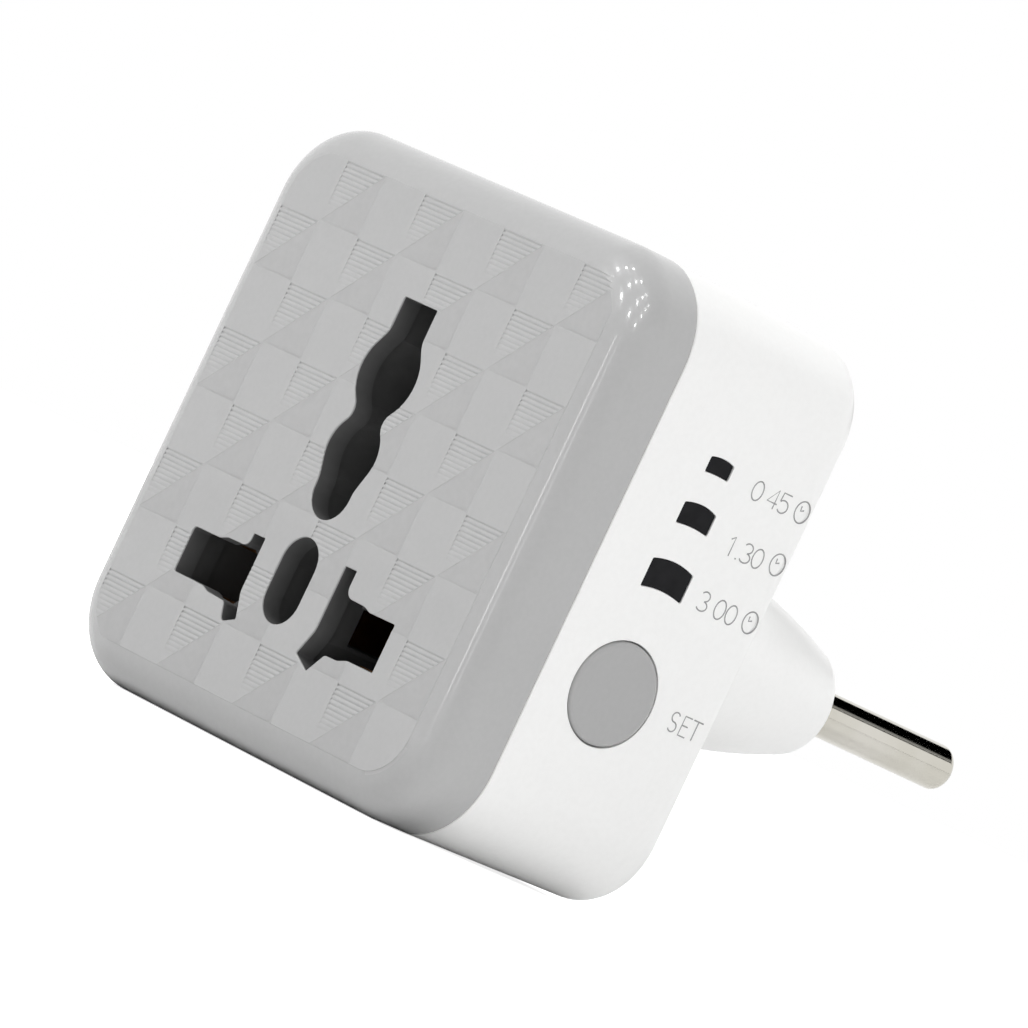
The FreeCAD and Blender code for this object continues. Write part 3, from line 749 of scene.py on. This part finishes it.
def boss_rings():
    """From inside the wall to the end: a small flare at the root, the drafted wall and the round rim.
    The rim's centre lies its radius from the end and from the wall, which leans by the draft's angle.
    The wall bulges from that line by bulge * 4 * part * (1 - part), where part runs from 0 to 1."""
    lean = np.arctan2(boss_root_r - boss_end_r, boss_depth)
    middle = boss_end_r + boss_rim * np.tan(lean) - boss_rim / np.cos(lean)
    turn = np.linspace(lean, np.pi / 2, 13)
    rim = np.stack([middle + boss_rim * np.cos(turn), boss_rim * (np.sin(turn) - 1)], axis=1)
    inset, drop = fillet(boss_flare, 5).T
    flare = np.stack([boss_root_r + inset - drop * np.tan(lean), back_y + drop], axis=1)
    part = np.linspace(0.1, 0.9, 9)[:, None]
    bulge = np.array((boss_bulge, 0)) * 4 * part * (1 - part)
    wall = flare[-1] * (1 - part) + rim[0] * part + bulge
    profile = [(boss_root_r + boss_flare, back_y - cut_past), *flare, *wall, *rim]
    return [ring_y(stadium(boss_flat, radius, 32), y) for radius, y in profile]


housing = ring_solid("white_rear_housing", rear_rings())
carve(housing, "UNION", ring_solid("boss", boss_rings()))
carve(housing, "DIFFERENCE", case_stack("room", inner_half, cavity_r, seam_y - cut_past, rear_in_y))
for x, z in screw_places:
    carve(housing, "UNION", rod_y("post", x, z, rear_post_r, board_back_y, back_y - case_wall / 2))
    recess = rod_y("recess", x, z, screw_head_r + screw_clear, back_y - screw_recess, back_y + cut_past)
    shank = rod_y("shank", x, z, screw_shank_r + screw_clear, board_back_y - cut_past, back_y - cut_past)
    carve(housing, "DIFFERENCE", recess, shank)
boss_room = [ring_y(stadium(pin_x + boss_hollow_past_pin, boss_hollow_r), y)
             for y in (rear_in_y - cut_past, -boss_end_wall)]
carve(housing, "DIFFERENCE", ring_solid("boss_room", boss_room))
for side in (-1, 1):
    carve(housing, "DIFFERENCE", rod_y("pin_hole", side * pin_x, 0, pin_root_r + snug,
                                       -boss_end_wall - cut_past, cut_past))
print("housing with boss,", len(housing.data.polygons), "faces")

# %% [markdown]
# The windows and the button sit in openings of the side wall. A window's top and foot both bow
# upwards, as in the photograph, and its corners are slightly round. The same outline, a little
# smaller, makes the lens. A window is given by its width, height, the height of its foot, and the bows
# of its top and foot.

# %% Windows and the button's hole
windows = {
    "short_time": (2.7, 1.35, 13.75, 0.20, 0.08),
    "middle_time": (3.7, 1.85, 9.05, 0.31, 0.15),
    "long_time": (4.75, 2.50, 3.22, 0.38, 0.30),
}
window_corner = 0.15
window_edge, button_hole_edge = 0.06, 0.12
button_r, button_clear = 4.45, 0.09
bow_points = 13
least_apart = 0.0001


def wall_x(y):
    """The drafted side wall's place in X at a depth."""
    return case_half - drafted(y)


def bowed(x, half, level, bow):
    """Height of a bow: level at both ends and higher by bow in the middle, as a parabola."""
    return level + bow * (1 - (x / half) ** 2)


def window_outline(wide, high, foot, top_bow, foot_bow):
    """A window's outline in the side wall, about the windows' middle line. A corner without a radius
    comes back as a run of equal points, of which one is kept."""
    half = wide / 2
    across = np.linspace(-half, half, bow_points)
    low = np.stack([across, bowed(across, half, foot, foot_bow)], axis=1)
    top = np.stack([across[::-1], bowed(across, half, foot + high, top_bow)[::-1]], axis=1)
    corners = np.column_stack([np.concatenate([low, top]), np.zeros(2 * bow_points)])
    corners[[0, bow_points - 1, bow_points, -1], 2] = window_corner
    outline = round_corners(corners, 4)
    apart = np.linalg.norm(outline - np.roll(outline, 1, axis=0), axis=1)
    return outline[apart > least_apart]


window_outlines = {name: window_outline(*sizes) for name, sizes in windows.items()}


def wall_cutter(name, outline, edge, y, z=0.0):
    """A cutter through the side wall, with a small round at the outer edge of the opening."""
    outside = wall_x(y)
    rings = [ring_x(offset(outline, edge), outside + cut_past, y, z)]
    rings += [ring_x(offset(outline, inset), outside - drop, y, z) for inset, drop in fillet(edge, 3)]
    return ring_solid(name, rings + [ring_x(outline, inner_half - cut_past, y, z)])


cutters = [wall_cutter(name, outline, window_edge, side_y) for name, outline in window_outlines.items()]
cutters.append(wall_cutter("button_hole", circle(button_r + button_clear, 96), button_hole_edge, side_y,
                           button_z))
carve(housing, "DIFFERENCE", *cutters)
finish_piece(housing, "case", white_plastic, "rear_housing")

# %% [markdown]
# A lens is a pane that fills its window with a hair of play, on a flange that rests against the inside
# of the wall. It goes in from inside, so the flange never shows.

# %% Lenses
lens_fit = 0.04
lens_edge = 0.08
lens_flange, lens_flange_thick = 0.7, 1.0
for name, outline in window_outlines.items():
    lens_front = node_box(name + "_window")[1][0]
    pane = offset(outline, -lens_fit)
    wide = offset(outline, lens_flange)
    rings = [ring_x(wide, inner_half - lens_flange_thick, side_y), ring_x(wide, inner_half, side_y),
             ring_x(pane, inner_half, side_y)]
    rings += [ring_x(offset(pane, -drop), lens_front - inset, side_y)
              for inset, drop in fillet(lens_edge, 3)]
    lens = ring_solid(name + "_lens", rings)
    finish_piece(lens, "case", smoked_plastic, name + "_window")

# %% [markdown]
# ## Printed marks
# Beside each window stands its time and a little clock, and beside the button the word SET. They're
# thin grey lines of pad print. Each character is a few pen strokes in a box from -1 to 1 each way, and a
# stroke is a narrow closed solid that stands a hair proud of the drafted wall. A mark is a character,
# its place (y, z) and its half width and half height.

# %% Strokes and characters
pen = 0.12
ink_proud, ink_sunk = 0.012, 0.03


def oval(across, up, half_across, half_up, start=0, end=360, steps=20):
    """Points on an oval: centre + (half_across * cos a, half_up * sin a)."""
    return arc_points((0, 0), 1, start, end, steps) * (half_across, half_up) + (across, up)


characters = {
    "0": [oval(0, 0, 1, 1)],
    "1": [np.array([(-0.6, 0.65), (0.1, 1), (0.1, -1)])],
    "3": [oval(0, 0.5, 0.85, 0.5, 150, -80, 12), oval(0, -0.5, 1, 0.5, 85, -150, 14)],
    "4": [np.array([(0.55, -1), (0.55, 1), (-1, -0.4), (1, -0.4)])],
    "5": [np.array([(0.9, 1), (-0.75, 1), (-0.85, 0.1)]), oval(-0.05, -0.35, 1, 0.65, 140, -140, 16)],
    "S": [np.concatenate([oval(0, 0.5, 0.9, 0.5, 30, 250, 12), oval(0, -0.5, 0.95, 0.5, 80, -150, 12)])],
    "E": [np.array([(0.9, 1), (-0.9, 1), (-0.9, -1), (0.9, -1)]),
          np.array([(-0.9, 0.05), (0.6, 0.05)])],
    "T": [np.array([(-1, 1), (1, 1)]), np.array([(0, 1), (0, -1)])],
    ".": [np.array([(-0.12, -0.95), (0.12, -0.95)])],
    "clock": [oval(0, 0, 1, 1, steps=32), np.array([(-0.35, 0.5), (-0.3, 0.05), (0.15, 0.2)])],
}
digit, letter, wide_letter, dial = (0.58, 0.82), (0.46, 0.83), (0.56, 0.83), (0.8, 0.93)
marks = [
    ("0", -27.4, 14.2, digit), ("4", -25.5, 14.2, digit), ("5", -24.2, 14.2, digit),
    ("clock", -22.0, 14.2, dial),
    ("1", -27.4, 9.25, digit), (".", -26.5, 9.25, digit), ("3", -25.6, 9.25, digit),
    ("0", -24.25, 9.25, digit), ("clock", -22.0, 9.5, dial),
    ("3", -27.6, 4.25, digit), ("0", -25.6, 4.2, digit), ("0", -24.25, 4.2, digit),
    ("clock", -22.0, 4.3, dial),
    ("S", -24.9, -5.6, letter), ("E", -23.55, -5.6, letter), ("T", -22.4, -5.6, wide_letter),
]


def stroke(line):
    """A pen stroke along points (y, z): out along one side of the line and back along the other. Each
    point's normal is the mean of its two segments' normals."""
    run = np.diff(line, axis=0)
    run /= np.linalg.norm(run, axis=1, keepdims=True)
    mean = np.concatenate([run[:1], run[:-1] + run[1:], run[-1:]])
    mean /= np.linalg.norm(mean, axis=1, keepdims=True)
    side = np.stack([-mean[:, 1], mean[:, 0]], axis=1) * pen / 2
    outline = np.concatenate([line + side, (line - side)[::-1]])
    return np.stack([np.column_stack([wall_x(outline[:, 0]) + proud, outline])
                     for proud in (-ink_sunk, ink_proud)])


strokes = [stroke(line * size + (y, z)) for character, y, z, size in marks for line in characters[character]]
print_lines = ring_solids("printed_time_marks", strokes)
finish_piece(print_lines, "case", mark_ink)

# %% [markdown]
# ## Turned pieces
# The pins, the screws and the button are round, so each is a profile turned about its axis: a list
# of radius and place. The pins are turned brass with a thick root and a domed tip, and a collar inside
# the boss keeps them in.

# %% Pins
pin_r, pin_tail_r, pin_collar_r, pin_collar_thick = 2.0, 1.4, 3.0, 1.5
pin_root_edge = 0.05
pin_tip_r, pin_tip_turn, pin_middle_turn = 0.9, np.radians(75), 0.03


def turned(name, profile, ring, steps=64):
    """A solid of revolution: a circle for each (radius, place) of the profile."""
    return ring_solid(name, [ring(circle(radius, steps), place) for radius, place in profile])


def pin_profile():
    """Tail, collar, root and shank, then a round corner that runs on into a shallow dome. The dome's
    radius is the corner's last radius / sin(rest), where rest is what the corner leaves of a quarter
    turn, so the two meet without an edge."""
    turn = np.linspace(0, pin_tip_turn, 9)
    rest = np.pi / 2 - pin_tip_turn
    corner_radii = pin_r - pin_tip_r + pin_tip_r * np.cos(turn)
    dome_r = corner_radii[-1] / np.sin(rest)
    shoulder = pin_high[1] - dome_r * (1 - np.cos(rest)) - pin_tip_r * np.sin(pin_tip_turn)
    lean = np.linspace(rest, pin_middle_turn, 6)[1:]
    tip = [*zip(corner_radii, shoulder + pin_tip_r * np.sin(turn)),
           *zip(dome_r * np.sin(lean), pin_high[1] - dome_r * (1 - np.cos(lean)))]
    collar_end = -boss_end_wall
    collar_start = collar_end - pin_collar_thick
    return [(pin_tail_r, pin_low[1]), (pin_tail_r, collar_start), (pin_collar_r, collar_start),
            (pin_collar_r, collar_end), (pin_root_r, collar_end), (pin_root_r, pin_root_edge),
            (pin_root_r - pin_root_edge, 2 * pin_root_edge), (pin_r, 2 * pin_root_edge)] + tip


for name, side in (("line_pin", 1), ("neutral_pin", -1)):
    pin = turned("turned_" + name, pin_profile(), lambda ring, y: ring_y(ring, y, side * pin_x))
    finish_piece(pin, "case", nickel, name)

# %% [markdown]
# The button is a cap with a round edge. A flange behind the wall keeps it from falling out, and its
# stem meets the switch's plunger.

# %% Button
button_stem_r, button_flange_r, button_round = 1.5, 5.35, 0.45
flange_in, flange_out = 22.15, 23.05
button_rings = [(button_stem_r, button_low[0]), (button_stem_r, flange_in), (button_flange_r, flange_in),
                (button_flange_r, flange_out), (button_r, flange_out)]
button_rings += [(button_r - drop, button_high[0] - inset) for inset, drop in fillet(button_round, 8)]
button = turned("round_set_button", button_rings, lambda ring, x: ring_x(ring, x, side_y, button_z), 96)
finish_piece(button, "button", button_plastic, "set_button")

# %% [markdown]
# The two screws have pan heads with a cross recess. Two bars cut it, each wider at its top, as the
# punch is that forms a real one.

# %% Screws
seat_y = back_y - screw_recess
screw_long, head_high, head_round = 16.0, 1.7, 0.8
cross_half_long, cross_half_wide = 1.3, 0.35
cross_foot, cross_top = (0.8, seat_y + 0.6), (1.1, seat_y + 2.0)
unit_square = np.array([(-1, -1), (1, -1), (1, 1), (-1, 1)])
screw_profile = [(screw_shank_r, seat_y - screw_long), (screw_shank_r, seat_y), (screw_head_r, seat_y)]
screw_profile += [(screw_head_r - drop, seat_y + head_high - inset) for inset, drop in fillet(head_round, 5)]
screws = None
for x, z in screw_places:
    screw = turned("screw", screw_profile, lambda ring, y: ring_y(ring, y, x, z), 48)
    for arm in ((cross_half_long, cross_half_wide), (cross_half_wide, cross_half_long)):
        bit = ring_solid("bit", [ring_y(unit_square * arm * size, y, x, z)
                                 for size, y in (cross_foot, cross_top)])
        carve(screw, "DIFFERENCE", bit)
    screws = carve(screws, "UNION", screw) if screws else screw
screws.name = "pan_head_screws"
finish_piece(screws, "case", zinc, "case_screws")

# %% [markdown]
# ## Camera
# The photograph was taken level with the plug, half from the front and half from the button's side,
# with the camera rolled so that the plug looks tipped. The place and the long lens were fitted to
# the outline of the face and the case.

# %% Camera
camera_place = (0.629817, -0.557185, 0.003436)
camera_azimuth, camera_elevation, camera_roll = np.radians((49.988, -0.047, 25.306))
camera_lens = 348.19
back = np.array((np.sin(camera_azimuth) * np.cos(camera_elevation),
                 -np.cos(camera_azimuth) * np.cos(camera_elevation), np.sin(camera_elevation)))
level = np.array((np.cos(camera_azimuth), np.sin(camera_azimuth), 0.0))
upright = np.cross(back, level)
right = np.cos(camera_roll) * level + np.sin(camera_roll) * upright
up = np.cos(camera_roll) * upright - np.sin(camera_roll) * level
turn = Matrix(np.stack([right, up, back], axis=1).tolist()).to_4x4()
camera_data = bpy.data.cameras.new("camera")
camera_data.lens = camera_lens
camera_data.clip_start = 0.01
camera_data.clip_end = 20.0
camera = bpy.data.objects.new("camera", camera_data)
bpy.context.scene.collection.objects.link(camera)
camera.matrix_world = Matrix.Translation(camera_place) @ turn
bpy.context.scene.camera = camera
print("camera", round(float(np.linalg.norm(camera_place)), 2), "m away, lens", camera_lens, "mm")

# %% [markdown]
# ## Light, floor and backdrop
# The plug stands in soft studio light. The lamps and the world together light a surface at a plain
# level, so a colour renders about as it is written. Rays from the camera, and the ones that metal
# and glass send on, see a plain white backdrop.

# %% World
world_level = 0.5


def white_to_sight(tree):
    """1 for rays that the camera, a gloss or a clear material sends out, and 0 for light's own rays."""
    path = add(tree, "ShaderNodeLightPath", {})
    first = add(tree, "ShaderNodeMath", {0: path.outputs["Is Camera Ray"], 1: path.outputs["Is Glossy Ray"]},
                operation="MAXIMUM")
    return add(tree, "ShaderNodeMath", {0: first.outputs[0], 1: path.outputs["Is Transmission Ray"]},
               operation="MAXIMUM").outputs[0]


world = bpy.data.worlds.new("studio")
bpy.context.scene.world = world
world.use_nodes = True
world_tree = world.node_tree
world_tree.nodes.clear()
soft_light = add(world_tree, "ShaderNodeBackground", {"Color": linear("#FFFFFF"), "Strength": world_level})
backdrop = add(world_tree, "ShaderNodeBackground", {"Color": linear("#FFFFFF"), "Strength": 1.0})
world_mix = add(world_tree, "ShaderNodeMixShader", {"Fac": white_to_sight(world_tree)})
world_tree.links.new(soft_light.outputs[0], world_mix.inputs[1])
world_tree.links.new(backdrop.outputs[0], world_mix.inputs[2])
add(world_tree, "ShaderNodeOutputWorld", {"Surface": world_mix.outputs[0]})
bpy.context.scene.view_settings.view_transform = "Standard"
print("world lights at", world_level)

# %% [markdown]
# The floor lies a hair below the plug and takes its shadow. It glows a little for the camera alone, so
# it comes out white.

# %% Floor
floor_half = 1500.0
floor_drop = 0.02
floor_glow_level = 0.8
floor_z = cad_low.z * 1000 - floor_drop
floor_points = np.column_stack([unit_square * floor_half, np.full(4, floor_z)])
floor = new_piece("studio_floor", floor_points, [[0, 1, 2, 3]])
floor_paint, floor_tree, floor_shader, _ = new_material("pale_floor_paint", Roughness=0.9)
floor_shader.inputs["Base Color"].default_value = linear("#F4F4F4")
floor_path = add(floor_tree, "ShaderNodeLightPath", {})
floor_glow = add(floor_tree, "ShaderNodeMath",
                 {0: floor_path.outputs["Is Camera Ray"], 1: floor_glow_level}, operation="MULTIPLY")
floor_shader.inputs["Emission Color"].default_value = linear("#FFFFFF")
floor_tree.links.new(floor_glow.outputs[0], floor_shader.inputs["Emission Strength"])
floor.data.materials.append(floor_paint)
print("floor at", round(floor_z, 2), "mm")

# %% [markdown]
# Three soft lamps stand round the plug. The key lights the face, the side lamp lights the windows and
# the button, and the top one lights the boss and the case's upper sides from behind.

# %% Lamps
target = Vector((0.0, -0.03, 0.0))


def aim(thing, place, front):
    """Puts a thing at a place in metres, with its front axis toward the plug."""
    thing.location = place
    thing.rotation_mode = "QUATERNION"
    thing.rotation_quaternion = (target - thing.location).to_track_quat(front, "Y")


def soft_lamp(name, place, size, watts):
    """A square area lamp that looks at the plug. Glossy rays pass it by, so it leaves no square glare."""
    data = bpy.data.lights.new(name, "AREA")
    data.shape = "RECTANGLE"
    data.size, data.size_y = size
    data.energy = watts
    lamp = bpy.data.objects.new(name, data)
    bpy.context.scene.collection.objects.link(lamp)
    aim(lamp, place, "-Z")
    lamp.visible_glossy = False
    print(name, "lamp", watts, "W")


soft_lamp("key", (-0.5, -0.6, 0.72), (0.4, 0.4), 5.6)
soft_lamp("side", (0.9, -0.1, 0.3), (0.5, 0.5), 2.0)
soft_lamp("top", (0.0, 0.6, 0.8), (0.5, 0.5), 2.6)

# %% [markdown]
# A polished piece shows what stands round it. In the photograph a black band runs along the pin's upper
# edge, white dots sit in the face's upper right corner, and two thin lines run down beside the face. They
# mirror a dark card, a field of small lights and two tall lights. So such cards stand here, and only
# glossy rays see them. Each is placed where the view, mirrored in that surface, looks.

# %% Cards that only reflections show
panel_r, panel_span = 35.0, (20.0, 62.0)


def stage_card(sheet, glow):
    """Paper that only glossy rays see: black without a glow, and a small lamp with one."""
    paper, _, shader, _ = new_material(sheet.name + "_paper", Roughness=1.0, Specular_IOR_Level=0.0)
    shader.inputs["Base Color"].default_value = linear("#000000")
    shader.inputs["Emission Color"].default_value = linear("#FFFFFF")
    shader.inputs["Emission Strength"].default_value = glow
    sheet.data.materials.append(paper)
    sheet.visible_camera = sheet.visible_diffuse = sheet.visible_shadow = sheet.visible_transmission = False
    print(sheet.name, "glow", glow)


def card(name, place, size, glow):
    """A flat card of a size in millimetres that looks at the plug from a place in metres."""
    corners = unit_square * np.array(size) / 2
    sheet = new_piece(name, np.column_stack([corners, np.zeros(4)]), [[0, 1, 2, 3]])
    aim(sheet, place, "Z")
    stage_card(sheet, glow)


def pin_panel(name, start, end, glow):
    """A sheet bent about the pin's axis, from one angle above +X to another, just behind the pin. It
    hangs so near that nothing else mirrors it."""
    across = arc_points((pin_x, 0), panel_r, start, end, 12)
    corners = np.concatenate([ring_y(across, y) for y in panel_span])
    index = np.arange(len(across) - 1)
    quads = np.stack([index, index + 1, index + 1 + len(across), index + len(across)], axis=1).tolist()
    stage_card(new_piece(name, corners, quads), glow)


pin_panel("black_panel", 64, 124, 0.0)
pin_panel("brown_panel", 54, 64, 0.3)
pin_panel("dark_strip", 48, 53, 0.0)
card("tall_light", (0.105, -0.64, 0.004), (35.0, 60.0), 9.0)
card("second_tall_light", (0.235, -0.61, 0.004), (35.0, 60.0), 5.0)
first_light = np.array((-0.467, -0.62, 0.27))
column_step, row_step = np.array((0.33, 0.0, 0.0)), np.array((0.08, 0.05, 0.22))
for row in range(4):
    for column in range(4):
        place = first_light + column * column_step + row * row_step
        card(f"studio_light_{row}{column}", place, (60.0, 60.0), 25.0)
